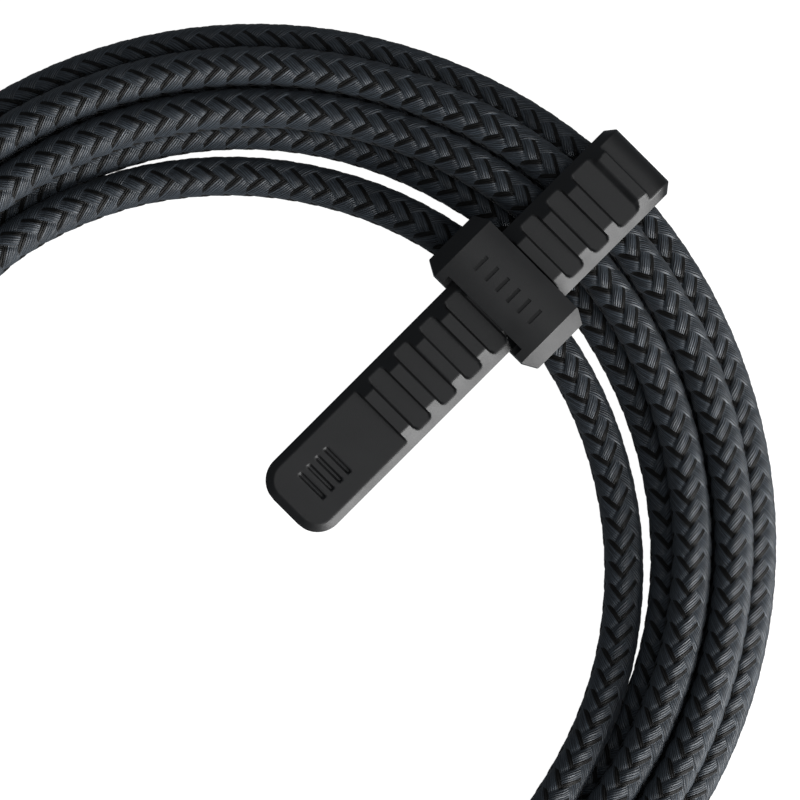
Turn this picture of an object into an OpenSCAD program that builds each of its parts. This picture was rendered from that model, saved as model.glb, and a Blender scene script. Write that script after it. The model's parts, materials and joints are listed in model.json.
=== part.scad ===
// Braided USB-C charging cable, wound into a flat coil and held by its own rubber cable tie.
// Millimetres. The origin is the coil's centre on the surface it lies on, and +Z is the coil's axis.
// The tie's pieces are drawn with X outwards from the coil's centre, then turned to the tie's place.
// A plug is drawn with its nose along +X and its housing's front face at X = 0.

/* [Cable] */
// Diameter over the braid
cable_d = 5; // [4.8:0.05:5.1]
// Radius of the middle turn of the lower layer
coil_r = 58; // [57.6:0.1:58.4]
// Distance between turns that lie side by side
turn_pitch = 5.3; // [5.1:0.05:5.4]

/* [Strap] */
// Direction of the tie from the coil's centre, in degrees
tie_angle = 45; // [40:1:50]
// Width of the strap
strap_w = 11.3; // [11.1:0.1:11.5]
// Thickness of the strap between two ridges
strap_t = 1.3; // [1.2:0.05:1.35]
// Height of a ridge above the strap
ridge_h = 1; // [0.7:0.05:1.05]
// Length of a ridge along the strap
ridge_l = 1.9; // [1.7:0.1:2]
// Distance from one ridge to the next
ridge_pitch = 4.52; // [4.4:0.02:4.6]
// Angle of the strap's long bevels above its flat face
bevel_angle = 35; // [32:1:38]

/* [Keeper] */
// Width of the keeper across the strap
keeper_w = 19.4; // [19:0.1:19.8]
// Length of the keeper along the strap
keeper_l = 9.8; // [9.6:0.1:9.9]
// Height of the keeper
keeper_h = 15.4; // [15.2:0.1:16]
// Width of the slot that the strap slides in
slot_w = 13; // [12.8:0.1:13.2]

/* [Plug] */
// Width of the plug's metal shell
shell_w = 8.25; // [8.2:0.01:8.3]
// Height of the plug's metal shell
shell_h = 2.4; // [2.35:0.01:2.45]
// Length of the shell in front of the housing
shell_l = 6.65; // [6.5:0.05:6.8]
// Width of the housing
housing_w = 11.6; // [11.2:0.1:11.8]
// Height of the housing
housing_h = 6.8; // [6.7:0.1:7]
// Length of the housing
housing_l = 20; // [19.5:0.5:20.5]
// Length of the tapered strain relief
relief_l = 12; // [11:0.5:12]

/* [Hidden] */
$fn = 64;
hair = 0.01;
cable_r = cable_d / 2;

// Coil: three turns below and two in the grooves above them
layer_rise = sqrt(pow(cable_d, 2) - pow(turn_pitch / 2, 2));
turn_z = [cable_r, cable_r + layer_rise];
lower_r = [coil_r - turn_pitch, coil_r + turn_pitch];
upper_r = [coil_r - turn_pitch / 2, coil_r + turn_pitch / 2];
coil_top = turn_z[1] + cable_r;

// Strap: under the turns, round their outer edge and back over them through the keeper
body_gap = 0.3;
under_gap = 0.1;
lift = strap_t + under_gap;
run_z = coil_top + lift + body_gap;
edge_h = 0.6;
tie_shift = 0.2;
fold_in = (run_z - strap_t) / 2;
fold_z = strap_t + fold_in;
fold_x = 62.6;
fold_travel = ridge_pitch / 2;
fold_start_x = 59;
tip_x = 5.8;
tip_corner = 3.5;
hinge_x = 26;
hinge_back = 0.9;
hinge_front = 0.35;
first_ridge_x = 23.8;
run_ridges = [1:7];
fold_flat_ridge = 8;
fold_ridge_x = 64.4;
fold_ridge_l = 1.7;
fold_side = 6.9;
fold_power = 6;
grip_grooves = 4;
groove_pitch = 1.5;
groove_w = 0.6;
groove_l = 4.4;
groove_depth = 0.35;
groove_x = 10.2;

// Keeper: a block over the innermost turn, with the strap's slot above the turn's bore
keeper_x = 45;
bore_z = 4.1;
bore_r = cable_r + 0.1;
inner_arc_r = 50.1;
inner_arc_x = -4.4;
slot_low = run_z - body_gap;
slot_high = run_z + strap_t + ridge_h + body_gap;
arch_rise = 0.6;
crown_drop = 0.8;
crown_sections = 8;
lip_back = 1.2;
lip_h = 0.5;
crown_r = (pow(keeper_l / 2, 2) + pow(crown_drop, 2)) / (2 * crown_drop);
end_bevel = 2;
corner_x = 1;
corner_y = 1.8;

// Plug
plug_z = housing_h / 2;
plug_line = 40;
plug_front = 10;
shell_wall = 0.25;
shell_root = 4;
tongue_w = 6.7;
tongue_h = 0.8;
tongue_depth = 5.4;
latch_y = tongue_w / 2 + 0.2;
latch_room = 0.5;
latch_t = 0.2;
latch_h = 0.5;
latch_inset = 0.3;
contact_pitch = 0.5;
contact_w = 0.25;
contact_t = 0.12;
contacts_per_row = 12;
contact_x = 0.9;
contact_l = 4.6;
tongue_back = 0.4;
insulator_tail = 1;
insulator_inset = 0.4;
insulator_back = shell_root + insulator_tail;
tongue_x = shell_l - tongue_back - tongue_depth;
latch_room_h = 0.6;
board_l = 8;
board_x = -insulator_back - board_l;
board_w = 8;
board_t = 0.8;
chip_w = 3;
chip_h = 0.8;
can_w = 9.6;
can_h = 4.4;
can_l = 13.5;
can_wall = 0.3;
can_front = 1.2;
cable_root = 17;
ferrule_l = 2.4;
ferrule_wall = 0.3;
cable_gap = 0.05;
wire_r = 0.45;
wire_pitch = 0.95;
wires_per_plug = 5;
wire_overlap = 1.4;
relief_root_r = 3.3;
relief_rings = 3;
relief_ring_l = 1.4;

// The innermost turn, from the coil over the first turn, down through the keeper and up again:
// [degrees from the tie, radius, height]
inner_stations = [
    [-108, 52.2, 7.3], [-100, 51.4, 7.4], [-94, 50.8, 7.4], [-88, 50, 7], [-80, 49.2, 5.9], [-72, 48.6, 4.4],
    [-64, 48, 3.1], [-56, 47.4, 2.5], [-46, 46.8, 2.5], [-36, 46.3, 2.5], [-26, 46, 3],
    [-17, 45.8, 3.9], [-8, 45.7, 4.1], [0, 45.7, 4.1], [8, 45.7, 4.1], [17, 45.8, 3.9],
    [26, 46, 3], [36, 46.3, 2.5], [46, 46.8, 2.5], [56, 47.4, 2.5], [64, 48, 2.8],
    [72, 48.5, 3.6], [80, 49.1, 4.8], [88, 49.6, 5.5]
];
// From there down into plug B, and from plug A out to the coil
lead_b_points = [[-37.2, 32, 4.8], [-39.2, 27.4, 3.9], [-40, 22, 3.4], [-40, 14, 3.4], [-40, 7, 3.4]];
lead_a_points = [
    [7, -40, 3.4], [14, -40, 3.4], [22, -40, 3.4], [27, -39.5, 3.2], [31.6, -38.3, 2.9],
    [36, -36.2, 2.6], [40, -33.4, 2.5], [43, -30.6, 2.5], [45.3, -27.5, 2.5]
];

// ---- Helpers ----

function unit(v) = v / norm(v);

// A station of the innermost turn as a point
function station_point(s) = [
    s[1] * cos(tie_angle + s[0]), s[1] * sin(tie_angle + s[0]), s[2]
];

// Direction of a route at its point i
function route_way(route, i) = unit(
    route[min(i + 1, len(route) - 1)] - route[max(i - 1, 0)]
);

// One ring of a tube round point i of its route
function tube_ring(route, i, r, sides) =
    let (way = route_way(route, i), side = unit(cross(way, [0, 0, 1])), up = cross(side, way))
    [for (k = [0:sides - 1]) route[i] + r * (cos(360 * k / sides) * side + sin(360 * k / sides) * up)];

// A round tube with a ring at each point of its route
module tube(route, r, sides = 12) {
    rings = len(route);
    last = (rings - 1) * sides;
    points = [for (i = [0:rings - 1]) each tube_ring(route, i, r, sides)];
    walls = [
        for (i = [0:rings - 2]) for (k = [0:sides - 1])
            let (a = i * sides, b = a + sides, n = (k + 1) % sides)
            [a + k, b + k, b + n, a + n]
    ];
    first_cap = [for (k = [0:sides - 1]) k];
    last_cap = [for (k = [sides - 1:-1:0]) last + k];
    polyhedron(points, concat([first_cap], walls, [last_cap]), convexity = 6);
}

// Turns a piece drawn along X to the tie's direction, a little to one side of the coil's centre
module at_tie() {
    rotate([0, 0, tie_angle]) translate([0, tie_shift, 0]) children();
}

// An outline in Y and Z, drawn along X from x by a length
module along_x(x, length) {
    translate([x, 0, 0]) rotate([90, 0, 90]) linear_extrude(length) children();
}

// An outline with round ends
module stadium(w, h) {
    square([w - h, h], center = true);
    for (side = [-1, 1]) translate([side * (w - h) / 2, 0]) circle(d = h);
}

module stadium_bar(x, length, w, h) {
    along_x(x, length) stadium(w, h);
}

module stadium_tube(x, length, w, h, wall) {
    along_x(x, length) difference() {
        stadium(w, h);
        stadium(w - 2 * wall, h - 2 * wall);
    }
}

// Plug A lies along the coil's -Y side and plug B along its -X side
module at_plug(letter) {
    if (letter == "a") translate([-plug_front, -plug_line, plug_z]) rotate([0, 0, 180]) children();
    else translate([-plug_line, -plug_front, plug_z]) rotate([0, 0, -90]) children();
}

// ---- Cable ----

// Outline of the coil: flat below, round at its sides and on top
module coil_outline() {
    for (r = lower_r) translate([r, turn_z[0]]) circle(r = cable_r);
    for (r = upper_r) translate([r, turn_z[1]]) circle(r = cable_r);
    translate([lower_r[0], 0]) square([lower_r[1] - lower_r[0], cable_d]);
    translate([upper_r[0], cable_r]) square([upper_r[1] - upper_r[0], coil_top - cable_r]);
}

// Room in the coil for the strap that passes under it and round its outer edge
module strap_room() {
    room_w = strap_w + 2 * body_gap;
    translate([keeper_x, -room_w / 2, -hair]) cube([fold_x - keeper_x + hair, room_w, lift + hair]);
    translate([fold_x, 0, fold_z]) rotate([90, 0, 0]) difference() {
        cylinder(r = fold_in + strap_t + ridge_h + body_gap, h = room_w, center = true);
        cylinder(r = fold_in - body_gap, h = room_w + 1, center = true);
        translate([-50, -50, -room_w]) cube([50, 100, 2 * room_w]);
    }
}

module cable_coil() {
    color([0.17, 0.19, 0.22]) difference() {
        rotate_extrude() coil_outline();
        at_tie() strap_room();
        at_tie() translate([keeper_x, -keeper_w / 2, -hair])
            cube([keeper_l / 2 + under_gap, keeper_w, keeper_h]);
    }
}

module cable_inner_turn() {
    color([0.17, 0.19, 0.22])
        tube(concat([for (s = inner_stations) station_point(s)], lead_b_points), cable_r);
}

module cable_lead_a() {
    color([0.17, 0.19, 0.22]) tube(lead_a_points, cable_r);
}

// ---- Cable tie ----

// How far the long bevel comes in from the strap's edge at a height
function bevel_in(height) = (height - edge_h) / tan(bevel_angle);

// Section of the strap up to a height: straight edges, then the long bevels
module strap_section(height) {
    half = strap_w / 2;
    top = half - bevel_in(height);
    polygon([[-half, 0], [half, 0], [half, edge_h], [top, height], [-top, height], [-half, edge_h]]);
}

// Section of what a ridge adds above the strap's straight edges
module ridge_section() {
    half = strap_w / 2;
    height = strap_t + ridge_h;
    top = half - bevel_in(height);
    polygon([[-half, edge_h], [half, edge_h], [top, height], [-top, height]]);
}

module ridge(x) {
    translate([0, 0, run_z]) along_x(x - ridge_l / 2, ridge_l) ridge_section();
}

// Reach of the fold's outer face from the fold's axis: nearly square, with round corners
function fold_reach(angle, side, top) = pow(
    pow(sin(angle) / side, fold_power) + pow(abs(cos(angle)) / top, fold_power), -1 / fold_power
);

// Outline of the fold in X and Z round its axis, lowered by a drop
module fold_outline(drop) {
    polygon([
        for (angle = [0:3:180])
            fold_reach(angle, fold_side - drop, fold_in + strap_t - drop) * [sin(angle), cos(angle)]
    ]);
}

// The thick end of the loop, with the strap's bevels along its edges
module fold_nose() {
    drop = strap_t - edge_h;
    translate([fold_x, 0, fold_z]) rotate([90, 0, 0]) difference() {
        hull() {
            linear_extrude(strap_w, center = true) fold_outline(drop);
            linear_extrude(strap_w - 2 * bevel_in(strap_t), center = true) fold_outline(0);
        }
        cylinder(r = fold_in, h = strap_w + 1, center = true);
    }
}

// The fold at the coil's outer edge, with the straight stretch before it
module tie_strap_fold() {
    color([0.09, 0.09, 0.09]) at_tie() {
        translate([0, 0, run_z]) along_x(fold_start_x, fold_x - fold_start_x) strap_section(strap_t);
        ridge(first_ridge_x + fold_flat_ridge * ridge_pitch);
        translate([0, 0, run_z]) along_x(fold_ridge_x, fold_ridge_l) ridge_section();
        fold_nose();
    }
}

// The strap over the coil and through the keeper, with its ridges
module tie_strap_run() {
    start = hinge_x + hinge_back;
    end = fold_start_x - fold_travel - body_gap;
    color([0.09, 0.09, 0.09]) at_tie() {
        translate([0, 0, run_z]) along_x(start, end - start) strap_section(strap_t);
        for (k = run_ridges) ridge(first_ridge_x + k * ridge_pitch);
    }
}

// Outline of the tail from above, with its two round corners
module tail_outline() {
    half = strap_w / 2;
    end = hinge_x - hinge_front;
    for (side = [-1, 1]) translate([tip_x + tip_corner, side * (half - tip_corner)]) circle(tip_corner);
    translate([tip_x, tip_corner - half]) square([end - tip_x, strap_w - 2 * tip_corner]);
    translate([tip_x + tip_corner, -half]) square([end - tip_x - tip_corner, strap_w]);
}

// The smooth free tail, with plain grip grooves and the first ridge
module tie_strap_tail() {
    end = hinge_x - hinge_front;
    color([0.09, 0.09, 0.09]) at_tie() difference() {
        union() {
            intersection() {
                translate([0, 0, run_z]) along_x(tip_x, end - tip_x) strap_section(strap_t);
                translate([0, 0, run_z]) linear_extrude(strap_t) tail_outline();
            }
            ridge(first_ridge_x);
        }
        for (i = [0:grip_grooves - 1])
            translate([groove_x + i * groove_pitch, -groove_l / 2, run_z + strap_t - groove_depth])
                cube([groove_w, groove_l, groove_depth + hair]);
    }
}

// Outline of the keeper from above
module keeper_plan() {
    x = keeper_l / 2;
    y = keeper_w / 2;
    polygon([
        [-x, corner_y - y], [corner_x - x, -y], [x - corner_x, -y], [x, corner_y - y],
        [x, y - corner_y], [x - corner_x, y], [corner_x - x, y], [-x, y - corner_y]
    ]);
}

// Outline of the keeper along the strap at a height, with bevels at its two ends
module keeper_front(height) {
    half = keeper_w / 2;
    foot = end_bevel / 2;
    polygon([
        [foot - half, 0], [half - foot, 0], [half, foot], [half, height - end_bevel],
        [half - end_bevel, height], [end_bevel - half, height], [-half, height - end_bevel],
        [-half, foot]
    ]);
}

// The keeper's outside: crowned along the strap, with bevels that follow the crown
module keeper_body() {
    intersection() {
        translate([keeper_x, 0, 0]) linear_extrude(keeper_h) keeper_plan();
        hull() for (k = [-crown_sections:crown_sections]) {
            x = k / crown_sections * keeper_l / 2;
            along_x(keeper_x + x, hair) keeper_front(keeper_h - crown_r + sqrt(pow(crown_r, 2) - pow(x, 2)));
        }
    }
}

// The innermost turn's bore, which follows the turn's own curve
module keeper_bore() {
    bore_turn = 2 * asin(keeper_w / inner_arc_r);
    translate([inner_arc_x, -tie_shift, bore_z]) rotate([0, 0, -bore_turn / 2])
        rotate_extrude(angle = bore_turn, $fn = 128) translate([inner_arc_r, 0]) circle(r = bore_r);
}

// The strap's slot: its upper lip is arched towards the coil, and set back on the other side
module keeper_slot() {
    height = slot_high - slot_low;
    arch_r = (pow(slot_w / 2 - 1, 2) + pow(arch_rise, 2)) / (2 * arch_rise);
    translate([0, 0, slot_low]) along_x(keeper_x - keeper_l, 2 * keeper_l)
        translate([-slot_w / 2, 0]) square([slot_w, height]);
    along_x(keeper_x + keeper_l / 4, keeper_l) intersection() {
        translate([0, slot_high + arch_rise - arch_r]) circle(r = arch_r, $fn = 96);
        translate([-slot_w / 2, slot_low]) square([slot_w, height + 2 * arch_rise]);
    }
    along_x(keeper_x - keeper_l, keeper_l / 2 + lip_back)
        translate([-slot_w / 2, slot_low + lip_h]) square([slot_w, keeper_h]);
}

// The keeper and the strap's lower run, which are one moulding
module tie_keeper() {
    foot_end = fold_x - body_gap;
    color([0.09, 0.09, 0.09]) at_tie() difference() {
        union() {
            keeper_body();
            along_x(keeper_x, foot_end - keeper_x) translate([-strap_w / 2, 0])
                square([strap_w, strap_t]);
        }
        keeper_bore();
        keeper_slot();
    }
}

// ---- Plug ----

module shell() {
    color([0.75, 0.76, 0.78])
        stadium_tube(-shell_root, shell_root + shell_l, shell_w, shell_h, shell_wall);
}

module insulator() {
    inner_w = shell_w - 2 * shell_wall - 2 * hair;
    inner_h = shell_h - 2 * shell_wall - 2 * hair;
    color([0.1, 0.1, 0.1]) difference() {
        stadium_bar(-insulator_back, insulator_back + shell_l - insulator_inset, inner_w, inner_h);
        translate([tongue_x, -tongue_w / 2, -tongue_h / 2]) cube([tongue_depth + 1, tongue_w, tongue_h]);
        for (side = [-1, 1]) translate([tongue_x, side * latch_y - latch_room / 2, -latch_room_h / 2])
            cube([tongue_depth + 1, latch_room, latch_room_h]);
    }
}

module contacts() {
    color([0.85, 0.68, 0.3]) for (side = [-1, 1]) for (i = [0:contacts_per_row - 1])
        translate([
            contact_x, (i - (contacts_per_row - 1) / 2) * contact_pitch - contact_w / 2,
            side * (tongue_h / 2 - contact_t / 2) - contact_t / 2
        ]) cube([contact_l, contact_w, contact_t]);
}

// The two spring latches that snap into a socket
module latches() {
    color([0.75, 0.76, 0.78]) for (side = [-1, 1])
        translate([tongue_x, side * latch_y - latch_t / 2, -latch_h / 2])
            cube([tongue_depth - latch_inset, latch_t, latch_h]);
}

module board() {
    color([0.05, 0.3, 0.15]) translate([board_x, -board_w / 2, -board_t / 2])
        cube([board_l, board_w, board_t]);
}

// The chip that tells the charger what the cable can carry
module chip() {
    color([0.08, 0.08, 0.08]) translate([board_x + (board_l - chip_w) / 2, -chip_w / 2, board_t / 2])
        cube([chip_w, chip_w, chip_h]);
}

module wires() {
    start = -board_x - wire_overlap;
    color([0.7, 0.25, 0.15]) for (i = [0:wires_per_plug - 1])
        translate([-start, (i - (wires_per_plug - 1) / 2) * wire_pitch, -board_t / 2 - wire_r])
            rotate([0, -90, 0]) cylinder(r = wire_r, h = cable_root - start, $fn = 24);
}

module shield_can() {
    color([0.6, 0.6, 0.62])
        stadium_tube(-can_front - can_l, can_l, can_w, can_h, can_wall);
}

// The crimped ring that holds the cable's jacket and shield
module ferrule() {
    color([0.7, 0.7, 0.72]) translate([-cable_root, 0, 0]) rotate([0, -90, 0]) difference() {
        cylinder(r = cable_r + cable_gap + ferrule_wall, h = ferrule_l);
        translate([0, 0, -1]) cylinder(r = cable_r + cable_gap, h = ferrule_l + 2);
    }
}

module housing() {
    lip = 0.6;
    color([0.1, 0.1, 0.105]) difference() {
        union() {
            stadium_bar(-housing_l, housing_l - lip, housing_w, housing_h);
            stadium_bar(-lip, lip, housing_w - lip, housing_h - lip);
        }
        stadium_bar(-can_front - can_l - 0.05, can_l + 0.1, can_w + 0.1, can_h + 0.1);
        stadium_bar(-shell_root - 2, shell_root + 3, shell_w + 2 * hair, shell_h + 2 * hair);
        translate([-can_l, 0, 0]) rotate([0, -90, 0]) cylinder(r = cable_r + cable_gap, h = housing_l);
        translate([-can_l, 0, 0]) rotate([0, -90, 0])
            cylinder(r = cable_r + 2 * cable_gap + ferrule_wall, h = cable_root + ferrule_l - can_l + hair);
    }
}

// The tapered, ringed sleeve behind the housing
module strain_relief() {
    end_r = cable_r + 0.45;
    ring_step = relief_l / (relief_rings + 1);
    slope = (relief_root_r - end_r) / relief_l;
    color([0.08, 0.08, 0.08]) translate([-housing_l, 0, 0]) rotate([0, -90, 0]) difference() {
        union() {
            cylinder(r1 = relief_root_r, r2 = end_r, h = relief_l);
            for (i = [1:relief_rings]) translate([0, 0, i * ring_step])
                cylinder(r = relief_root_r - slope * i * ring_step + 0.1, h = relief_ring_l, center = true);
        }
        translate([0, 0, -1]) cylinder(r = cable_r + cable_gap, h = relief_l + 2);
    }
}

module plug_piece(kind) {
    if (kind == "shell") shell();
    else if (kind == "insulator") insulator();
    else if (kind == "contacts") contacts();
    else if (kind == "latches") latches();
    else if (kind == "board") board();
    else if (kind == "chip") chip();
    else if (kind == "wires") wires();
    else if (kind == "shield_can") shield_can();
    else if (kind == "ferrule") ferrule();
    else if (kind == "housing") housing();
    else strain_relief();
}

module plug_nodes(letter) {
    for (kind = [
        "shell", "insulator", "contacts", "latches", "board", "chip", "wires", "shield_can",
        "ferrule", "housing", "strain_relief"
    ])
        at_plug(letter) plug_piece(kind);
}

cable_coil();
cable_inner_turn();
cable_lead_a();
tie_keeper();
tie_strap_fold();
tie_strap_run();
tie_strap_tail();
for (letter = ["a", "b"]) plug_nodes(letter);
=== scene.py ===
"""Looks for a braided charging cable, wound into a coil and held by its rubber cable tie.

Everything is in metres in the CAD frame: the coil's centre is at the origin, on the surface that it
lies on, and +Z is the coil's axis. MM turns the named sizes, which are in millimetres, into metres.
"""

import json
import math

import bmesh
import bpy
import numpy as np
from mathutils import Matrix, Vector

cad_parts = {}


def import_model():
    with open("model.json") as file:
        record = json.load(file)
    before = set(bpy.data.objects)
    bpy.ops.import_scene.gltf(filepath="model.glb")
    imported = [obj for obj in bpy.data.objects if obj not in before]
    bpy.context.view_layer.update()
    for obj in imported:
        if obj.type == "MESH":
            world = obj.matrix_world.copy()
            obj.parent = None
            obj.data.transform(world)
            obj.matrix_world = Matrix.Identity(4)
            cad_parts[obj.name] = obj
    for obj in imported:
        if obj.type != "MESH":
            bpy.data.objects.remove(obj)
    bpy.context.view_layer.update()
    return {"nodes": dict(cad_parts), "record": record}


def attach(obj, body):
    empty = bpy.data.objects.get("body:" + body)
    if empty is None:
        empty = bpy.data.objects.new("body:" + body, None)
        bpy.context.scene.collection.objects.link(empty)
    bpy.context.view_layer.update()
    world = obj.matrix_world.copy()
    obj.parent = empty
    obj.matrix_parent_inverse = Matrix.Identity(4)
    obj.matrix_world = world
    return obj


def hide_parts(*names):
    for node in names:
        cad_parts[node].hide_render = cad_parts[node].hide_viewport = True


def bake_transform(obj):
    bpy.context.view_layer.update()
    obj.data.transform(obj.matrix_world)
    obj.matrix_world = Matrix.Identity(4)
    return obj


MM = 0.001

# ---- Sizes that follow the CAD model, in millimetres ----

CABLE_D = 5.0
CABLE_R = CABLE_D / 2
COIL_R = 58.0
TURN_PITCH = 5.3
TIE_ANGLE = 45.0

STRAP_W = 11.3
STRAP_T = 1.3
RIDGE_H = 1.0
RIDGE_L = 1.9
RIDGE_PITCH = 4.52
FIRST_RIDGE_X = 23.8
BEVEL_SLOPE = math.tan(math.radians(35))
STRAP_EDGE_H = 0.6
TIE_SHIFT = 0.2
TIP_X = 5.8
TIP_CORNER = 3.5
FOLD_X = 62.6

KEEPER_X = 45.0
KEEPER_W = 19.4
KEEPER_L = 9.8
KEEPER_H = 15.4
SLOT_W = 13.0
BORE_Z = 4.1

LAYER_RISE = math.sqrt(CABLE_D**2 - (TURN_PITCH / 2) ** 2)
LOW_Z = CABLE_R
HIGH_Z = CABLE_R + LAYER_RISE
BODY_GAP = 0.3
UNDER_GAP = 0.1
LIFT = STRAP_T + UNDER_GAP
RUN_Z = HIGH_Z + CABLE_R + LIFT + BODY_GAP
FOLD_IN = (RUN_Z - STRAP_T) / 2
FOLD_Z = STRAP_T + FOLD_IN

# The innermost turn, as the CAD model has it: [degrees from the tie, radius, height]
INNER_STATIONS = [
    (-108, 52.2, 7.3), (-100, 51.4, 7.4), (-94, 50.8, 7.4), (-88, 50, 7), (-80, 49.2, 5.9),
    (-72, 48.6, 4.4), (-64, 48, 3.1), (-56, 47.4, 2.5), (-46, 46.8, 2.5), (-36, 46.3, 2.5),
    (-26, 46, 3), (-17, 45.8, 3.9), (-8, 45.7, 4.1), (0, 45.7, 4.1), (8, 45.7, 4.1),
    (17, 45.8, 3.9), (26, 46, 3), (36, 46.3, 2.5), (46, 46.8, 2.5), (56, 47.4, 2.5),
    (64, 48, 2.8), (72, 48.5, 3.6), (80, 49.1, 4.8), (88, 49.6, 5.5),
]  # fmt: skip
# From there down into plug B, and from plug A out to the coil
LEAD_B = [(-37.2, 32, 4.8), (-39.2, 27.4, 3.9), (-40, 22, 3.4), (-40, 14, 3.4), (-40, 7, 3.4)]
LEAD_A = [
    (7, -40, 3.4), (14, -40, 3.4), (22, -40, 3.4), (27, -39.5, 3.2), (31.6, -38.3, 2.9),
    (36, -36.2, 2.6), (40, -33.4, 2.5), (43, -30.6, 2.5), (45.3, -27.5, 2.5),
]  # fmt: skip

# ---- Helpers ----


def smooth(x):
    """0 below 0, 1 above 1, and an even rise between them."""
    x = np.clip(x, 0.0, 1.0)
    return x * x * (3 - 2 * x)


def mix(a, b, share):
    return a + (b - a) * share


def new_mesh(name, points, faces, smooth_faces=True):
    """A mesh object from points in metres."""
    mesh = bpy.data.meshes.new(name)
    mesh.from_pydata([tuple(p) for p in points], [], [tuple(f) for f in faces])
    mesh.validate()
    mesh.polygons.foreach_set("use_smooth", [smooth_faces] * len(mesh.polygons))
    mesh.update()
    made = bpy.data.objects.new(name, mesh)
    bpy.context.scene.collection.objects.link(made)
    return made


def face_out(made):
    """Turns every face of a closed mesh outwards."""
    work = bmesh.new()
    work.from_mesh(made.data)
    bmesh.ops.recalc_face_normals(work, faces=work.faces)
    work.to_mesh(made.data)
    work.free()


def loft(name, rings, smooth_faces=False):
    """A closed mesh through rings of points, with a cap at each end."""
    around = len(rings[0])
    last = (len(rings) - 1) * around
    faces = []
    for start in range(0, last, around):
        for i in range(around):
            after = (i + 1) % around
            faces.append((start + i, start + after, start + around + after, start + around + i))
    faces.append(tuple(range(around))[::-1])
    faces.append(tuple(last + i for i in range(around)))
    made = new_mesh(name, [point for ring in rings for point in ring], faces, smooth_faces)
    face_out(made)
    return made


def to_tie(x, y, z):
    """A point drawn along the tie, in millimetres, as a point of the frame in metres."""
    turn = math.radians(TIE_ANGLE)
    y = y + TIE_SHIFT
    return (
        (x * math.cos(turn) - y * math.sin(turn)) * MM,
        (x * math.sin(turn) + y * math.cos(turn)) * MM,
        z * MM,
    )


# ---- Node materials ----


class Nodes:
    """A short way to write a material's node tree."""

    def __init__(self, name):
        self.material = bpy.data.materials.new(name)
        self.material.use_nodes = True
        self.tree = self.material.node_tree
        self.shader = self.tree.nodes["Principled BSDF"]

    def add(self, kind, **settings):
        made = self.tree.nodes.new(kind)
        for key, value in settings.items():
            setattr(made, key, value)
        return made

    def link(self, out, into):
        self.tree.links.new(out, into)

    def put(self, socket, value):
        if isinstance(value, bpy.types.NodeSocket):
            self.link(value, socket)
        else:
            socket.default_value = value

    def joined(self, x, y, z):
        made = self.add("ShaderNodeCombineXYZ")
        for socket, value in zip(made.inputs, (x, y, z)):
            self.put(socket, value)
        return made.outputs[0]

    def math(self, operation, a, b=0.0):
        made = self.add("ShaderNodeMath", operation=operation)
        self.put(made.inputs[0], a)
        self.put(made.inputs[1], b)
        return made.outputs[0]

    def coords(self, scale=(1, 1, 1)):
        source = self.add("ShaderNodeTexCoord")
        mapping = self.add("ShaderNodeMapping")
        mapping.inputs["Scale"].default_value = scale
        self.link(source.outputs["Object"], mapping.inputs["Vector"])
        return mapping.outputs["Vector"]

    def noise(self, vector, scale=1.0, detail=3.0):
        made = self.add("ShaderNodeTexNoise")
        self.put(made.inputs["Vector"], vector)
        made.inputs["Scale"].default_value = scale
        made.inputs["Detail"].default_value = detail
        return made.outputs["Fac"]

    def remap(self, value, low, high, to_low, to_high, way="LINEAR"):
        made = self.add("ShaderNodeMapRange", interpolation_type=way)
        self.put(made.inputs["Value"], value)
        ends = {"From Min": low, "From Max": high, "To Min": to_low, "To Max": to_high}
        for key, number in ends.items():
            made.inputs[key].default_value = number
        return made.outputs["Result"]

    def number_mix(self, share, a, b):
        made = self.add("ShaderNodeMix", data_type="FLOAT")
        for socket, value in ((0, share), (2, a), (3, b)):
            self.put(made.inputs[socket], value)
        return made.outputs[0]

    def color_mix(self, share, a, b):
        made = self.add("ShaderNodeMix", data_type="RGBA")
        for socket, value in ((0, share), (6, a), (7, b)):
            self.put(made.inputs[socket], value)
        return made.outputs[2]

    def bump(self, height, strength, distance):
        made = self.add("ShaderNodeBump")
        self.put(made.inputs["Height"], height)
        made.inputs["Strength"].default_value = strength
        made.inputs["Distance"].default_value = distance
        return made.outputs["Normal"]

    def surface(self, **inputs):
        names = {
            "color": "Base Color",
            "roughness": "Roughness",
            "metallic": "Metallic",
            "normal": "Normal",
            "sheen": "Sheen Weight",
            "sheen_roughness": "Sheen Roughness",
            "specular": "Specular IOR Level",
        }
        for key, value in inputs.items():
            self.put(self.shader.inputs[names[key]], value)
        return self.material


def rgb(red, green, blue):
    return (red, green, blue, 1.0)


SLATE_DARK, SLATE_LIGHT = rgb(0.011, 0.0155, 0.021), rgb(0.046, 0.058, 0.072)
# Painted shade: a near-black slate painted into the gaps between filaments, where shade falls
SLATE_PAINTED_SHADE = rgb(0.0025, 0.0035, 0.005)
BLACK_DARK, BLACK_LIGHT = rgb(0.0008, 0.0007, 0.0005), rgb(0.003, 0.0025, 0.0018)


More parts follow.
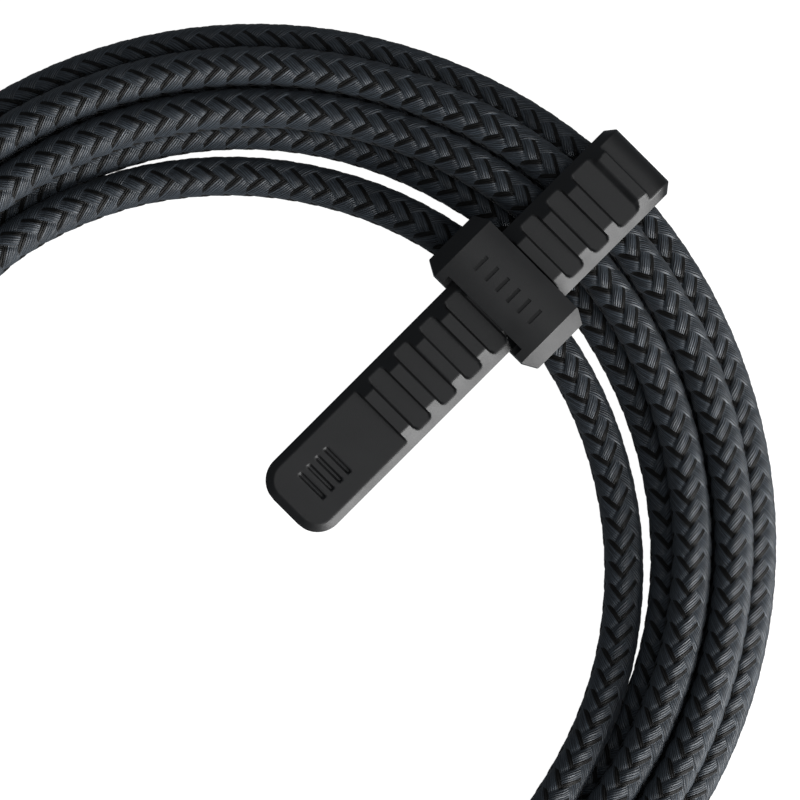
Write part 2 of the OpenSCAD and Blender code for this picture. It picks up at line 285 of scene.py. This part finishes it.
def ribbon_shares(n, a, b):
    """From the ribbon counts: is the first direction of yarn on top here, and is this its black part."""
    in_a, in_b = n.math("FRACT", a), n.math("FRACT", b)
    i, j = n.math("FLOOR", a), n.math("FLOOR", b)
    past_edge = n.math("SUBTRACT", n.math("SUBTRACT", b, i), 1.0)
    next_run = n.math("DIVIDE", n.math("FLOORED_MODULO", past_edge, 4.0), 2.0)
    ramp = n.remap(next_run, SPREAD_FROM, SPREAD_TO, 1.0, 1.0 - SPREAD, "SMOOTHSTEP")
    beside = n.math("LESS_THAN", next_run, 1.0)
    covered = n.math("MULTIPLY", beside, n.math("GREATER_THAN", in_a, ramp))
    rank = n.math("FLOORED_MODULO", n.math("ADD", n.math("SUBTRACT", i, j), 1.0), 4.0)
    first = n.math("MAXIMUM", covered, n.math("LESS_THAN", rank, 1.5))
    own = n.math("SUBTRACT", 1.0, covered)
    first_black = n.math("MULTIPLY", n.math("GREATER_THAN", in_a, FIRST_SLATE), own)
    second_black = n.math("LESS_THAN", in_b, SECOND_BLACK)
    return first, n.number_mix(first, second_black, first_black)


def braid_material():
    """Two-colour nylon braid. The UV map counts ribbons: U across one direction of yarn and V across the
    other. From them the shader works out which ribbon is on top, so the fine filaments follow its yarn."""
    n = Nodes("braided_nylon")
    uv = n.add("ShaderNodeUVMap", uv_map="yarn")
    parts = n.add("ShaderNodeSeparateXYZ")
    n.link(uv.outputs["UV"], parts.inputs[0])
    a, b = parts.outputs["X"], parts.outputs["Y"]
    first, black_share = ribbon_shares(n, a, b)
    across = n.number_mix(first, b, a)
    along = n.number_mix(first, a, b)

    def stretched(across_scale, along_scale):
        u, v = n.math("MULTIPLY", across, across_scale), n.math("MULTIPLY", along, along_scale)
        return n.joined(u, v, first)

    wander = n.noise(stretched(2.2, 0.9), detail=1.0)
    strand = n.math("ADD", n.math("MULTIPLY", across, FILAMENTS), n.math("MULTIPLY", wander, FILAMENT_WANDER))
    off_middle = n.math("ABSOLUTE", n.math("SUBTRACT", n.math("FRACT", strand), 0.5))
    line = n.math("MULTIPLY", off_middle, 2.0)
    tone = n.noise(stretched(9.0, 0.6), detail=2.0)
    height = n.math("ADD", n.math("MULTIPLY", line, -0.6), tone)
    # Painted shade: the slate darkens towards each filament's edge, in the gaps between filaments
    painted_gap_shade = n.remap(line, 0.45, 1.0, 0.0, 1.0)
    slate = n.color_mix(n.remap(tone, 0.36, 0.64, 0, 1), SLATE_DARK, SLATE_LIGHT)
    slate = n.color_mix(painted_gap_shade, slate, SLATE_PAINTED_SHADE)
    black = n.color_mix(tone, BLACK_DARK, BLACK_LIGHT)
    return n.surface(
        color=n.color_mix(black_share, slate, black),
        roughness=n.remap(tone, 0.3, 0.7, 0.6, 0.44),
        normal=n.bump(height, 0.9, 0.00011),
        sheen=0.06,
        sheen_roughness=0.4,
        specular=n.remap(black_share, 0, 1, 0.55, 0.22),
    )


def scaled(color, share):
    return rgb(*(channel * share for channel in color))


def rubber_material(name, color, roughness):
    """Moulded rubber or plastic with a fine sandblasted grain and slight unevenness."""
    n = Nodes(name)
    place = n.coords()
    fine = n.noise(place, 9000.0, detail=2.0)
    broad = n.noise(place, 240.0, detail=3.0)
    shade = n.color_mix(n.remap(broad, 0.3, 0.7, 0, 1), scaled(color, 0.8), scaled(color, 1.25))
    rough = n.remap(broad, 0.3, 0.7, roughness - 0.04, roughness + 0.05)
    return n.surface(color=shade, roughness=rough, normal=n.bump(fine, 0.35, 0.00003), specular=0.5)


def steel_material(name, color, roughness):
    """Drawn steel, with fine lines along the part."""
    n = Nodes(name)
    lines = n.noise(n.coords((600, 600, 9000)), detail=2.0)
    blotch = n.noise(n.coords(), 500.0)
    shade = n.color_mix(n.remap(blotch, 0.3, 0.7, 0, 1), scaled(color, 0.9), rgb(*color))
    rough = n.remap(lines, 0.3, 0.7, roughness - 0.05, roughness + 0.08)
    return n.surface(color=shade, roughness=rough, metallic=1.0, normal=n.bump(lines, 0.08, 0.00002))


def materials():
    """Each of the record's slots with its material."""
    return {
        "braid": braid_material(),
        "tie_rubber": rubber_material("tie_rubber", (0.0075, 0.0075, 0.0078), 0.46),
        "shell_steel": steel_material("shell_steel", (0.66, 0.66, 0.67), 0.24),
        "insulator_plastic": rubber_material("insulator_plastic", (0.012, 0.012, 0.012), 0.42),
        "contact_gold": steel_material("contact_gold", (0.85, 0.62, 0.26), 0.2),
        "board_green": rubber_material("board_green", (0.012, 0.11, 0.045), 0.38),
        "chip_black": rubber_material("chip_black", (0.02, 0.02, 0.021), 0.5),
        "wire_copper": rubber_material("wire_copper", (0.4, 0.09, 0.04), 0.4),
        "can_metal": steel_material("can_metal", (0.56, 0.56, 0.57), 0.3),
        "housing_black": rubber_material("housing_black", (0.02, 0.02, 0.021), 0.4),
        "relief_rubber": rubber_material("relief_rubber", (0.015, 0.015, 0.0155), 0.52),
    }


# ---- The cable's route ----

# Behind the tie each turn moves over to the next one's place, between these angles from the tie
SHIFT_FROM, SHIFT_TO = 195.0, 260.0
ROLL_DEG = 122.5
TOUCH_GAP = 0.05
# The turns lie over the strap at the tie and come down to the table on both sides of it
HUMP_FLAT, HUMP_END = 6.0, 32.0
# How far the lower turns lie from the middle one's circle, and how that changes away from the tie
INSIDE_IN, INSIDE_SPLAY, INSIDE_ANGLE = 6.25, 1.75, 52
INSIDE_PINCH, PINCH_ANGLE = 0.5, 7
MIDDLE_SPLAY, MIDDLE_END = 0.00006, 88.0
OUTSIDE_OUT, OUTSIDE_PUSH, OUTSIDE_ANGLE = 0.4, 0.3, 20
STEP_DEG = 3.0
ROUTE_STEP = 0.5
DENSE_STEPS = 12
AVERAGED = 31
PATH_EVERY = 4


def bell(angle, width):
    return math.exp(-((angle / width) ** 2))


def polar(angle_from_tie, radius, height):
    turn = math.radians(TIE_ANGLE + angle_from_tie)
    return (radius * math.cos(turn), radius * math.sin(turn), height)


def turn_place(turn, angle):
    """Radius and height of a turn, 0 to 4, at an angle from the tie, -90 to 270. Behind the tie each turn
    moves over to the next one's place: the lower ones outwards, then up over the edge and inwards."""
    from_tie = abs(angle) if angle < 180 else 360 - angle
    splay = INSIDE_SPLAY * (1 - bell(from_tie, INSIDE_ANGLE))
    lower = [
        COIL_R - INSIDE_IN + splay + INSIDE_PINCH * bell(from_tie, PINCH_ANGLE),
        COIL_R + MIDDLE_SPLAY * min(from_tie, MIDDLE_END) ** 2,
        COIL_R + TURN_PITCH + OUTSIDE_OUT + OUTSIDE_PUSH * bell(from_tie, OUTSIDE_ANGLE),
    ]
    upper = [COIL_R + TURN_PITCH / 2, COIL_R - TURN_PITCH / 2]
    share = float(smooth((angle - SHIFT_FROM) / (SHIFT_TO - SHIFT_FROM)))
    hump = LIFT * (1 - float(smooth((from_tie - HUMP_FLAT) / (HUMP_END - HUMP_FLAT))))
    over = (CABLE_D - LAYER_RISE) * math.sin(2 * math.pi * share) ** 2
    if turn == 0:
        return mix(lower[0], lower[1], share), LOW_Z + hump
    if turn == 1:
        return mix(lower[1], lower[2], share), LOW_Z + hump
    if turn == 2:
        roll = math.radians(ROLL_DEG * share)
        below = mix(lower[1], lower[2], share)
        spare = lower[2] - lower[1] - CABLE_D - TOUCH_GAP
        reach = CABLE_D + TOUCH_GAP + spare * (1 - share)
        return below + reach * math.cos(roll), LOW_Z + hump + reach * math.sin(roll)
    if turn == 3:
        return mix(upper[0], upper[1], share), HIGH_Z + hump + over
    settled = mix(HIGH_Z, INNER_STATIONS[0][2], float(smooth((share - 0.5) * 2)))
    return mix(upper[1], INNER_STATIONS[0][1], share), settled + hump + over * (share < 0.75)


def route_points():
    """The cable's centreline from plug A to plug B, in millimetres."""
    points = list(LEAD_A)
    start = math.degrees(math.atan2(LEAD_A[-1][1], LEAD_A[-1][0])) - TIE_ANGLE
    angle = math.ceil((start + 5) / STEP_DEG) * STEP_DEG
    last = 5 * 360 + INNER_STATIONS[0][0] - STEP_DEG
    while angle < last:
        turn = int((angle + 90) // 360)
        points.append(polar(angle, *turn_place(turn, angle - 360 * turn)))
        angle += STEP_DEG
    points += [polar(*station) for station in INNER_STATIONS]
    return np.array(points + list(LEAD_B))


def running_length(points):
    """Distance along a line of points, from 0 at its first one."""
    return np.concatenate([[0], np.cumsum(np.linalg.norm(np.diff(points, axis=0), axis=1))])


def even_route(points):
    """A smooth curve through the points, evenly spaced and with its small kinks averaged out."""
    ends = np.vstack([2 * points[0] - points[1], points, 2 * points[-1] - points[-2]])
    knots = np.concatenate([[0], np.cumsum(np.sqrt(np.linalg.norm(np.diff(ends, axis=0), axis=1)))])
    dense = []
    for i in range(1, len(ends) - 2):
        t0, t1, t2, t3 = knots[i - 1 : i + 3]
        t = np.linspace(t1, t2, DENSE_STEPS, endpoint=False)[:, None]
        a1 = (t1 - t) / (t1 - t0) * ends[i - 1] + (t - t0) / (t1 - t0) * ends[i]
        a2 = (t2 - t) / (t2 - t1) * ends[i] + (t - t1) / (t2 - t1) * ends[i + 1]
        a3 = (t3 - t) / (t3 - t2) * ends[i + 1] + (t - t2) / (t3 - t2) * ends[i + 2]
        b1 = (t2 - t) / (t2 - t0) * a1 + (t - t0) / (t2 - t0) * a2
        b2 = (t3 - t) / (t3 - t1) * a2 + (t - t1) / (t3 - t1) * a3
        dense.append((t2 - t) / (t2 - t1) * b1 + (t - t1) / (t2 - t1) * b2)
    dense = np.vstack(dense + [points[-1:]])
    along = running_length(dense)
    stations = np.linspace(0, along[-1], int(round(along[-1] / ROUTE_STEP)) + 1)
    even = np.column_stack([np.interp(stations, along, dense[:, k]) for k in range(3)])
    window = np.hanning(AVERAGED)
    window /= window.sum()
    held = len(window) // 2
    for k in range(3):
        even[held:-held, k] = np.convolve(even[:, k], window, mode="valid")
    return even


# ---- The braid ----

# Six ribbons of yarn each way, each with a slate part and a black part, counted in ribbon widths
RIBBONS = 6
TILE_PITCH = 2.9
FIRST_SLATE = 0.69
SECOND_BLACK = 0.31
FILAMENTS = 7.0
FILAMENT_WANDER = 0.8
# The first direction's ribbons spread over their neighbours between these shares of a float
SPREAD = 0.57
SPREAD_FROM, SPREAD_TO = 0.1, 0.5
TURNED = 0.44
# Where the mesh has lines across a ribbon: at its edges, at the change of colour and between
FIRST_STEPS = np.array([0.0, 0.08, 0.43, 0.51, 0.69, 0.84])
SECOND_STEPS = np.array([0.0, 0.15, 0.31, 0.4, 0.66, 0.91])
# Relief in millimetres
OVER_RISE = 0.24
RIBBON_CROWN = 0.09
BULGE = 0.06
BLACK_CROWN = 0.4
# Side step that tells the two sides of a ribbon's edge apart
EPS = 1e-4


def grid_line(index, steps):
    """Where a grid line lies, counted in ribbons: the lines gather at each ribbon's edges."""
    return index // len(steps) + steps[index % len(steps)]


def ribbon_height(a, b):
    """Height of the braid's surface at ribbon coordinates a and b, one for each direction of yarn. Each
    ribbon goes over two and under two, and the first direction's ribbons spread over their neighbours."""
    i, j = np.floor(a), np.floor(b)
    along_next = ((b - (i + 1)) % 4) / 2
    spread = SPREAD * smooth((along_next - SPREAD_FROM) / (SPREAD_TO - SPREAD_FROM))
    covered = (along_next < 1) & (a - i > 1 - spread)
    first = covered | ((i - j + 1) % 4 < 2)
    ribbon = i + covered
    run = np.where(first, ((b - ribbon) % 4) / 2, ((a - (j + 1)) % 4) / 2)
    width = np.where(first, a - ribbon, b - j)
    own_spread = SPREAD * smooth((run - SPREAD_FROM) / (SPREAD_TO - SPREAD_FROM))
    slate = np.where(first, width < FIRST_SLATE, width > SECOND_BLACK)
    low = np.where(first, np.where(slate, -own_spread, FIRST_SLATE), np.where(slate, SECOND_BLACK, 0))
    high = np.where(first, np.where(slate, FIRST_SLATE, 1), np.where(slate, 1, SECOND_BLACK))
    from_middle = 2 * (width - low) / (high - low) - 1
    crown = np.sqrt(np.clip(1 - from_middle**2, 0, 1)) * np.where(slate, 1, BLACK_CROWN)
    peak = np.where(first, 0.5, 0.36)
    fall = np.where(first, 0.5, 0.42)
    away = np.where(run < peak, ((peak - run) / peak) ** 5, np.clip((run - peak) / fall, 0, 1) ** 3)
    return OVER_RISE * (1 - away) + RIBBON_CROWN * crown * (1 - 0.7 * away)


def braid_surface(route):
    """Points, faces and ribbon coordinates of the braid around the route. The grid runs along the two
    directions of yarn, so that every ribbon's edge is an edge of the mesh."""
    fine = len(FIRST_STEPS)
    per_ring = RIBBONS * fine
    stations = running_length(route)
    cells = int(stations[-1] / TILE_PITCH)
    pitch = stations[-1] / cells
    rings = cells * 2 * fine
    r, k = np.meshgrid(np.arange(rings + 1), np.arange(per_ring), indexing="ij")
    c = 2 * k + r % 2 - per_ring
    a = grid_line((r + c) // 2, FIRST_STEPS)
    b = grid_line((r - c) // 2, SECOND_STEPS)
    beside = [(da, db) for da in (-EPS, EPS) for db in (-EPS, EPS)]
    height = np.minimum.reduce([ribbon_height(a + da, b + db) for da, db in beside])
    along = np.clip((a + b) / 2 * pitch, 0, stations[-1])
    way = np.gradient(route, axis=0)
    way /= np.linalg.norm(way, axis=1)[:, None]
    side = np.cross(way, [0, 0, 1])
    side /= np.linalg.norm(side, axis=1)[:, None]
    up = np.cross(side, way)

    def at(values):
        return np.stack([np.interp(along, stations, values[:, n]) for n in range(3)], axis=-1)

    angle = ((a - b) / 2 - TURNED) * (2 * math.pi / RIBBONS)
    radius = (CABLE_R + BULGE - OVER_RISE - RIBBON_CROWN + height)[..., None]
    outwards = np.cos(angle)[..., None] * at(up) + np.sin(angle)[..., None] * at(side)
    points = at(route) + radius * outwards

    rr, kk = np.meshgrid(np.arange(rings - 1), np.arange(per_ring), indexing="ij")
    cc = 2 * kk + rr % 2
    corners = [(0, 0), (1, 1), (2, 0), (1, -1)]
    faces = [(rr + dr) * per_ring + ((cc + dc) % (2 * per_ring)) // 2 for dr, dc in corners]
    yarn = []
    for dr, dc in corners:
        ring, around = rr + dr, cc + dc - per_ring
        first = grid_line((ring + around) // 2, FIRST_STEPS)
        second = grid_line((ring - around) // 2, SECOND_STEPS)
        yarn.append(np.stack([first, second], axis=-1))
    faces = np.stack(faces, axis=-1).reshape(-1, 4)
    yarn = np.stack(yarn, axis=2).reshape(-1, 4, 2)
    return points.reshape(-1, 3), faces, yarn


def make_cable(finish):
    """The whole cable as one braided tube, with closed ends inside the plugs."""
    route = even_route(route_points())
    points, faces, yarn = braid_surface(route)
    mesh = bpy.data.meshes.new("cable")
    mesh.vertices.add(len(points))
    mesh.vertices.foreach_set("co", (points * MM).astype(np.float32).ravel())
    loops = faces[:, ::-1].ravel()
    mesh.loops.add(len(loops))
    mesh.loops.foreach_set("vertex_index", loops.astype(np.int32))
    mesh.polygons.add(len(faces))
    mesh.polygons.foreach_set("loop_start", np.arange(0, len(loops), 4, dtype=np.int32))
    mesh.update(calc_edges=True)
    mesh.polygons.foreach_set("use_smooth", np.ones(len(faces), dtype=bool))
    layer = mesh.uv_layers.new(name="yarn")
    layer.data.foreach_set("uv", yarn[:, ::-1].astype(np.float32).ravel())
    cable = bpy.data.objects.new("cable", mesh)
    bpy.context.scene.collection.objects.link(cable)
    mesh.materials.append(finish)
    close_ends(mesh)
    return cable, route[::PATH_EVERY]


def close_ends(mesh):
    """Fills the open zigzag at each end of the tube."""
    work = bmesh.new()
    work.from_mesh(mesh)
    open_edges = [e for e in work.edges if e.is_boundary]
    bmesh.ops.holes_fill(work, edges=open_edges, sides=0)
    work.to_mesh(mesh)
    work.free()


# ---- The strap ----

FLOOR_H = STRAP_T
RIDGE_TOP = STRAP_T + RIDGE_H
FOLD_NEUTRAL = 5.3
FOLD_END = FOLD_X + math.pi * FOLD_NEUTRAL
POCKET_L = RIDGE_PITCH - RIDGE_L
POCKET_W = 2 * (STRAP_W / 2 - (FLOOR_H - STRAP_EDGE_H) / BEVEL_SLOPE) + 0.25
POCKET_CORNER = 1.0
WALL = 0.26
LAST_POCKET = 8
FOLD_SIDE = 6.9
FOLD_TOP = FOLD_IN + STRAP_T
FOLD_POWER = 6
FOLD_RIDGE = [FOLD_X + FOLD_NEUTRAL * math.atan((x - FOLD_X) / FOLD_TOP) for x in (64.4, 66.1)]
END_STEEPER = 1.0
GROOVES, GROOVE_X, GROOVE_PITCH = 4, 10.2, 1.5
GROOVE_W, GROOVE_L, GROOVE_DEPTH = 0.6, 4.4, 0.35
GROOVE_LEAD, GROOVE_SOFT = 0.08, 0.24
INNER_ROUND = 0.1
STRAP_STEP = 0.14
STRAP_SHARP = 38
STRAP_COLUMNS = 75
LOOP_SEAM = FOLD_END - 2.2


def box_distance(x, y, half_x, half_y, corner):
    """Distance outside a rectangle with round corners, negative inside it."""
    out_x = np.abs(x) - (half_x - corner)
    out_y = np.abs(y) - (half_y - corner)
    outside = np.hypot(np.maximum(out_x, 0), np.maximum(out_y, 0))
    inside = np.minimum(np.maximum(out_x, out_y), 0)
    return outside + inside - corner


def half_width(s):
    """The strap's half width at a place along it: it narrows round the tail's two corners."""
    left = max(0.0, TIP_CORNER - max(0.0, s - TIP_X))
    return STRAP_W / 2 - TIP_CORNER + math.sqrt(TIP_CORNER**2 - left**2)


def fold_reach(turn):
    """Reach of the fold's outer face from its axis: nearly square, with round corners."""
    across, along = math.sin(turn) / FOLD_SIDE, abs(math.cos(turn)) / FOLD_TOP
    return (across**FOLD_POWER + along**FOLD_POWER) ** (-1 / FOLD_POWER)


def strap_height(s, t):
    """Height of the strap's outer face above its inner one: ridges, pockets, long bevels and grooves."""
    edge = STRAP_W / 2 - np.abs(t)
    if s < TIP_X + TIP_CORNER:
        beside = np.abs(t) - (STRAP_W / 2 - TIP_CORNER)
        corner = TIP_CORNER - np.hypot(TIP_X + TIP_CORNER - s, np.maximum(beside, 0))
        edge = np.minimum(edge, np.where(beside > 0, corner, s - TIP_X))
    turn = min(max(s - FOLD_X, 0.0) / FOLD_NEUTRAL, math.pi)
    steeper = 1 + END_STEEPER * float(smooth(math.sin(turn) * 1.15))
    bevel = (STRAP_EDGE_H - FLOOR_H + np.maximum(edge, 0) * BEVEL_SLOPE) * steeper
    full = np.minimum(RIDGE_TOP, FLOOR_H + bevel)
    index = min(math.floor((s - FIRST_RIDGE_X) / RIDGE_PITCH), LAST_POCKET)
    start = FIRST_RIDGE_X + index * RIDGE_PITCH + RIDGE_L / 2
    end = FOLD_RIDGE[0] if index == LAST_POCKET else start + POCKET_L
    if index < 0:
        inside = FIRST_RIDGE_X - RIDGE_L / 2 - s
    elif s > (FOLD_RIDGE[0] + FOLD_RIDGE[1]) / 2:
        inside = s - FOLD_RIDGE[1]
    else:
        inside = -box_distance(s - (start + end) / 2, t, (end - start) / 2, POCKET_W / 2, POCKET_CORNER)
    height = full - np.maximum(full - FLOOR_H, 0) * smooth((inside + WALL / 2) / WALL)
    height = height + fold_reach(turn) - FOLD_TOP
    for k in range(GROOVES):
        x = GROOVE_X + GROOVE_W / 2 + k * GROOVE_PITCH
        groove = -box_distance(s - x, t, GROOVE_W / 2, GROOVE_L / 2, GROOVE_W / 2)
        height = height - GROOVE_DEPTH * smooth((groove + GROOVE_LEAD) / GROOVE_SOFT)
    return height


def strap_place(s):
    """Where the strap's inner face is at a place along it, and which way is outwards: (x, z), (x, z)."""
    if s <= FOLD_X:
        return (s, RUN_Z), (0, 1)
    if s < FOLD_END:
        turn = (s - FOLD_X) / FOLD_NEUTRAL
        out_x, out_z = math.sin(turn), math.cos(turn)
        return (FOLD_X + FOLD_IN * out_x, FOLD_Z + FOLD_IN * out_z), (out_x, out_z)
    return (FOLD_X - (s - FOLD_END), STRAP_T), (0, -1)


def strap_skin(name, start, end):
    """A closed length of the strap, with its relief."""
    count = int(math.ceil((end - start) / STRAP_STEP))
    columns = np.linspace(-1, 1, STRAP_COLUMNS)
    rows = []
    for s in np.linspace(start, end, count + 1):
        half = half_width(s)
        t = columns * half
        (x, z), (nx, nz) = strap_place(s)
        inset = half - INNER_ROUND
        under = [(half, INNER_ROUND), (inset, 0), (-inset, 0), (-half, INNER_ROUND)]
        section = list(zip(t, strap_height(s, t))) + under
        rows.append([to_tie(x + nx * h, y, z + nz * h) for y, h in section])
    made = loft(name, rows, True)
    mark_sharp(made, STRAP_SHARP)
    return made


def mark_sharp(made, degrees):
    """Smooth shading, but with a crisp line where two faces meet at more than this angle."""
    work = bmesh.new()
    work.from_mesh(made.data)
    for edge in work.edges:
        edge.smooth = edge.calc_face_angle(0) < math.radians(degrees)
    for face in work.faces:
        face.smooth = True
    work.to_mesh(made.data)
    work.free()


# ---- The keeper ----

CORNER_X, CORNER_Y = 1.0, 1.8
END_BEVEL = 2.0
CROWN_DROP = 0.8
CROWN_SECTIONS = 11
OVERRUN = 0.01
SLOT_LOW = RUN_Z - BODY_GAP
SLOT_HIGH = RUN_Z + RIDGE_TOP + BODY_GAP
LIP_BACK, LIP_H = 1.2, 0.5
INNER_ARC_R, INNER_ARC_X, BORE_R = 50.1, -4.4, 2.6
BORE_SIDES, BORE_RINGS, BORE_REACH = 40, 25, 14.0
MARKS, MARK_X, MARK_PITCH = 6, 0.3, 1.9
MARK_W, MARK_L, MARK_DEPTH = 0.5, 2.3, 0.45
ROUNDED, ROUND_STEPS, ROUND_ANGLE, KEEPER_SHARP = 0.28, 3, 28, 32


def prism(name, outline, place, low, high):
    """A prism: place turns (u, v, w) into the tie's x, y and z, and w runs from low to high."""
    return loft(name, [[to_tie(*place(u, v, w)) for u, v in outline] for w in (low, high)])


def combine(target, tool, operation):
    """Applies a boolean and removes the tool."""
    step = target.modifiers.new("step", "BOOLEAN")
    step.object = tool
    step.operation = operation
    step.solver = "EXACT"
    graph = bpy.context.evaluated_depsgraph_get()
    mesh = bpy.data.meshes.new_from_object(target.evaluated_get(graph))
    target.modifiers.clear()
    target.data = mesh
    bpy.data.objects.remove(tool)


def rectangle(u0, u1, v0, v1):
    return [(u0, v0), (u1, v0), (u1, v1), (u0, v1)]


def bore_tool():
    """The innermost turn's curved bore as a solid."""
    sides = [2 * math.pi * k / BORE_SIDES for k in range(BORE_SIDES)]
    rings = []
    for i in range(BORE_RINGS):
        turn = math.radians(-BORE_REACH + 2 * BORE_REACH * i / (BORE_RINGS - 1))
        ring = []
        for side in sides:
            r = INNER_ARC_R + BORE_R * math.cos(side)
            height = BORE_Z + BORE_R * math.sin(side)
            ring.append(to_tie(INNER_ARC_X + r * math.cos(turn), r * math.sin(turn) - TIE_SHIFT, height))
        rings.append(ring)
    return loft("bore", rings)


def keeper_front(x):
    """The keeper's outline across the strap at x from its middle, with bevels that follow the crown."""
    crown_r = (KEEPER_L**2 / 4 + CROWN_DROP**2) / (2 * CROWN_DROP)
    top = KEEPER_H - crown_r + math.sqrt(crown_r**2 - x * x)
    half, foot = KEEPER_W / 2, END_BEVEL / 2
    outline = [
        (foot - half, 0), (half - foot, 0), (half, foot), (half, top - END_BEVEL), (half - END_BEVEL, top),
        (END_BEVEL - half, top), (-half, top - END_BEVEL), (-half, foot),
    ]  # fmt: skip
    return [to_tie(KEEPER_X + x, y, z) for y, z in outline]


def keeper_block():
    """The crowned block, before its corners, slot and bore are cut. It runs a little past both ends."""
    reach = KEEPER_L / 2 + OVERRUN
    places = np.linspace(-reach, reach, CROWN_SECTIONS + 1)
    return loft("keeper", [keeper_front(x) for x in places])


def make_keeper():
    """The moulded block that the strap runs through: crowned, bevelled, with a slot and a bore."""
    half_x, half_y = KEEPER_L / 2, KEEPER_W / 2
    plan = [
        (-half_x, CORNER_Y - half_y), (CORNER_X - half_x, -half_y), (half_x - CORNER_X, -half_y),
        (half_x, CORNER_Y - half_y), (half_x, half_y - CORNER_Y), (half_x - CORNER_X, half_y),
        (CORNER_X - half_x, half_y), (-half_x, half_y - CORNER_Y),
    ]  # fmt: skip

    def lying(u, v, w):
        return KEEPER_X + u, v, w

    def along_strap(u, v, w):
        return KEEPER_X + w, u, v

    keeper = keeper_block()
    combine(keeper, prism("plan", plan, lying, -1, KEEPER_H + 1), "INTERSECT")
    half_slot = SLOT_W / 2
    slot = rectangle(-half_slot, half_slot, SLOT_LOW, SLOT_HIGH)
    combine(keeper, prism("slot", slot, along_strap, -KEEPER_L, KEEPER_L), "DIFFERENCE")
    lip = rectangle(-half_slot, half_slot, SLOT_LOW + LIP_H, KEEPER_H + 2)
    combine(keeper, prism("lip", lip, along_strap, -KEEPER_L, LIP_BACK - half_x), "DIFFERENCE")
    combine(keeper, bore_tool(), "DIFFERENCE")
    for k in range(MARKS):
        y = (k - (MARKS - 1) / 2) * MARK_PITCH
        mark = rectangle(MARK_X - MARK_L / 2, MARK_X + MARK_L / 2, y - MARK_W / 2, y + MARK_W / 2)
        combine(keeper, prism("mark", mark, lying, KEEPER_H - MARK_DEPTH, KEEPER_H + 1), "DIFFERENCE")
    rounded = keeper.modifiers.new("rounded", "BEVEL")
    rounded.width = ROUNDED * MM
    rounded.segments = ROUND_STEPS
    rounded.limit_method = "ANGLE"
    rounded.angle_limit = math.radians(ROUND_ANGLE)
    graph = bpy.context.evaluated_depsgraph_get()
    mesh = bpy.data.meshes.new_from_object(keeper.evaluated_get(graph))
    keeper.modifiers.clear()
    keeper.data = mesh
    mark_sharp(keeper, KEEPER_SHARP)
    even = keeper.modifiers.new("even", "WEIGHTED_NORMAL")
    even.keep_sharp = True
    return keeper


def make_tie(rubber):
    """The keeper and three lengths of strap, each meeting the next at a seam."""
    keeper = make_keeper()
    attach(keeper, "root")
    lower = strap_skin("strap_lower", LOOP_SEAM, FOLD_END + FOLD_X - KEEPER_X)
    loop = strap_skin("strap_loop_skin", KEEPER_X, LOOP_SEAM)
    tail = strap_skin("strap_tail_skin", TIP_X, KEEPER_X)
    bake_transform(lower)
    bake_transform(loop)
    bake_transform(tail)
    for piece in (keeper, lower, loop, tail):
        piece.data.materials.clear()
        piece.data.materials.append(rubber)
    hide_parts("tie_keeper")
    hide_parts("tie_strap_fold", "tie_strap_run")
    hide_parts("tie_strap_tail")


# ---- Camera, light and floor ----

VIEW_X = VIEW_Y = 18.36
VIEW_SPAN = 101.3
LENS = 400.0
SENSOR = 36.0
FOCUS_Z = 6.0
# The floor in metres, just under the braid's lowest strands
FLOOR_HALF, FLOOR_Z = 3, -0.0001


def make_camera():
    """Looks straight down, from far enough for the coil to look flat."""
    data = bpy.data.cameras.new("camera")
    data.lens = LENS
    data.sensor_width = SENSOR
    data.clip_end = 100
    camera = bpy.data.objects.new("camera", data)
    bpy.context.scene.collection.objects.link(camera)
    distance = VIEW_SPAN * LENS / SENSOR
    camera.location = (VIEW_X * MM, VIEW_Y * MM, (FOCUS_Z + distance) * MM)
    bpy.context.scene.camera = camera


def area_light(name, direction, distance, size, power):
    """A soft light that shines on the coil from a direction."""
    data = bpy.data.lights.new(name, "AREA")
    data.shape = "RECTANGLE"
    data.size, data.size_y = size
    data.energy = power
    light = bpy.data.objects.new(name, data)
    way = Vector(direction).normalized()
    light.location = way * distance + Vector((VIEW_X * MM, VIEW_Y * MM, 0))
    light.rotation_euler = way.to_track_quat("Z", "Y").to_euler()
    bpy.context.scene.collection.objects.link(light)


def make_studio():
    """Plain white floor, a tall light that stands on the right, a weak one above, and a dim room."""
    corners = [(x * FLOOR_HALF, y * FLOOR_HALF, FLOOR_Z) for x, y in ((-1, -1), (1, -1), (1, 1), (-1, 1))]
    floor = new_mesh("floor", corners, [(0, 1, 2, 3)], False)
    n = Nodes("floor_white")
    n.surface(color=rgb(0.2, 0.2, 0.2), roughness=0.9, specular=0.0)
    n.shader.inputs["Emission Color"].default_value = rgb(1, 1, 1)
    n.shader.inputs["Emission Strength"].default_value = 1.0
    floor.data.materials.append(n.material)
    floor.visible_diffuse = False
    floor.visible_glossy = False
    area_light("key_right", (1.0, -0.9, 0.42), 0.75, (0.7, 0.5), 12)
    area_light("top_soft", (0.35, -0.1, 1.0), 1.3, (0.8, 0.8), 3.2)
    world = bpy.data.worlds.new("room")
    bpy.context.scene.world = world
    world.use_nodes = True
    world.node_tree.nodes["Background"].inputs["Color"].default_value = rgb(0.85, 0.92, 1)
    world.node_tree.nodes["Background"].inputs["Strength"].default_value = 0.16
    bpy.context.scene.view_settings.view_transform = "Standard"


# ---- The whole object ----


def main():
    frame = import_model()
    make_camera()
    make_studio()
    finish = materials()
    slots = {row["node"]: row["material_slot"] for row in frame["record"]["subparts"]}
    for name, node in frame["nodes"].items():
        node.data.materials.clear()
        node.data.materials.append(finish[slots[name]])

    cable, path = make_cable(finish["braid"])
    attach(cable, "root")
    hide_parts("cable_coil", "cable_inner_turn", "cable_lead_a")

    make_tie(finish["tie_rubber"])


main()
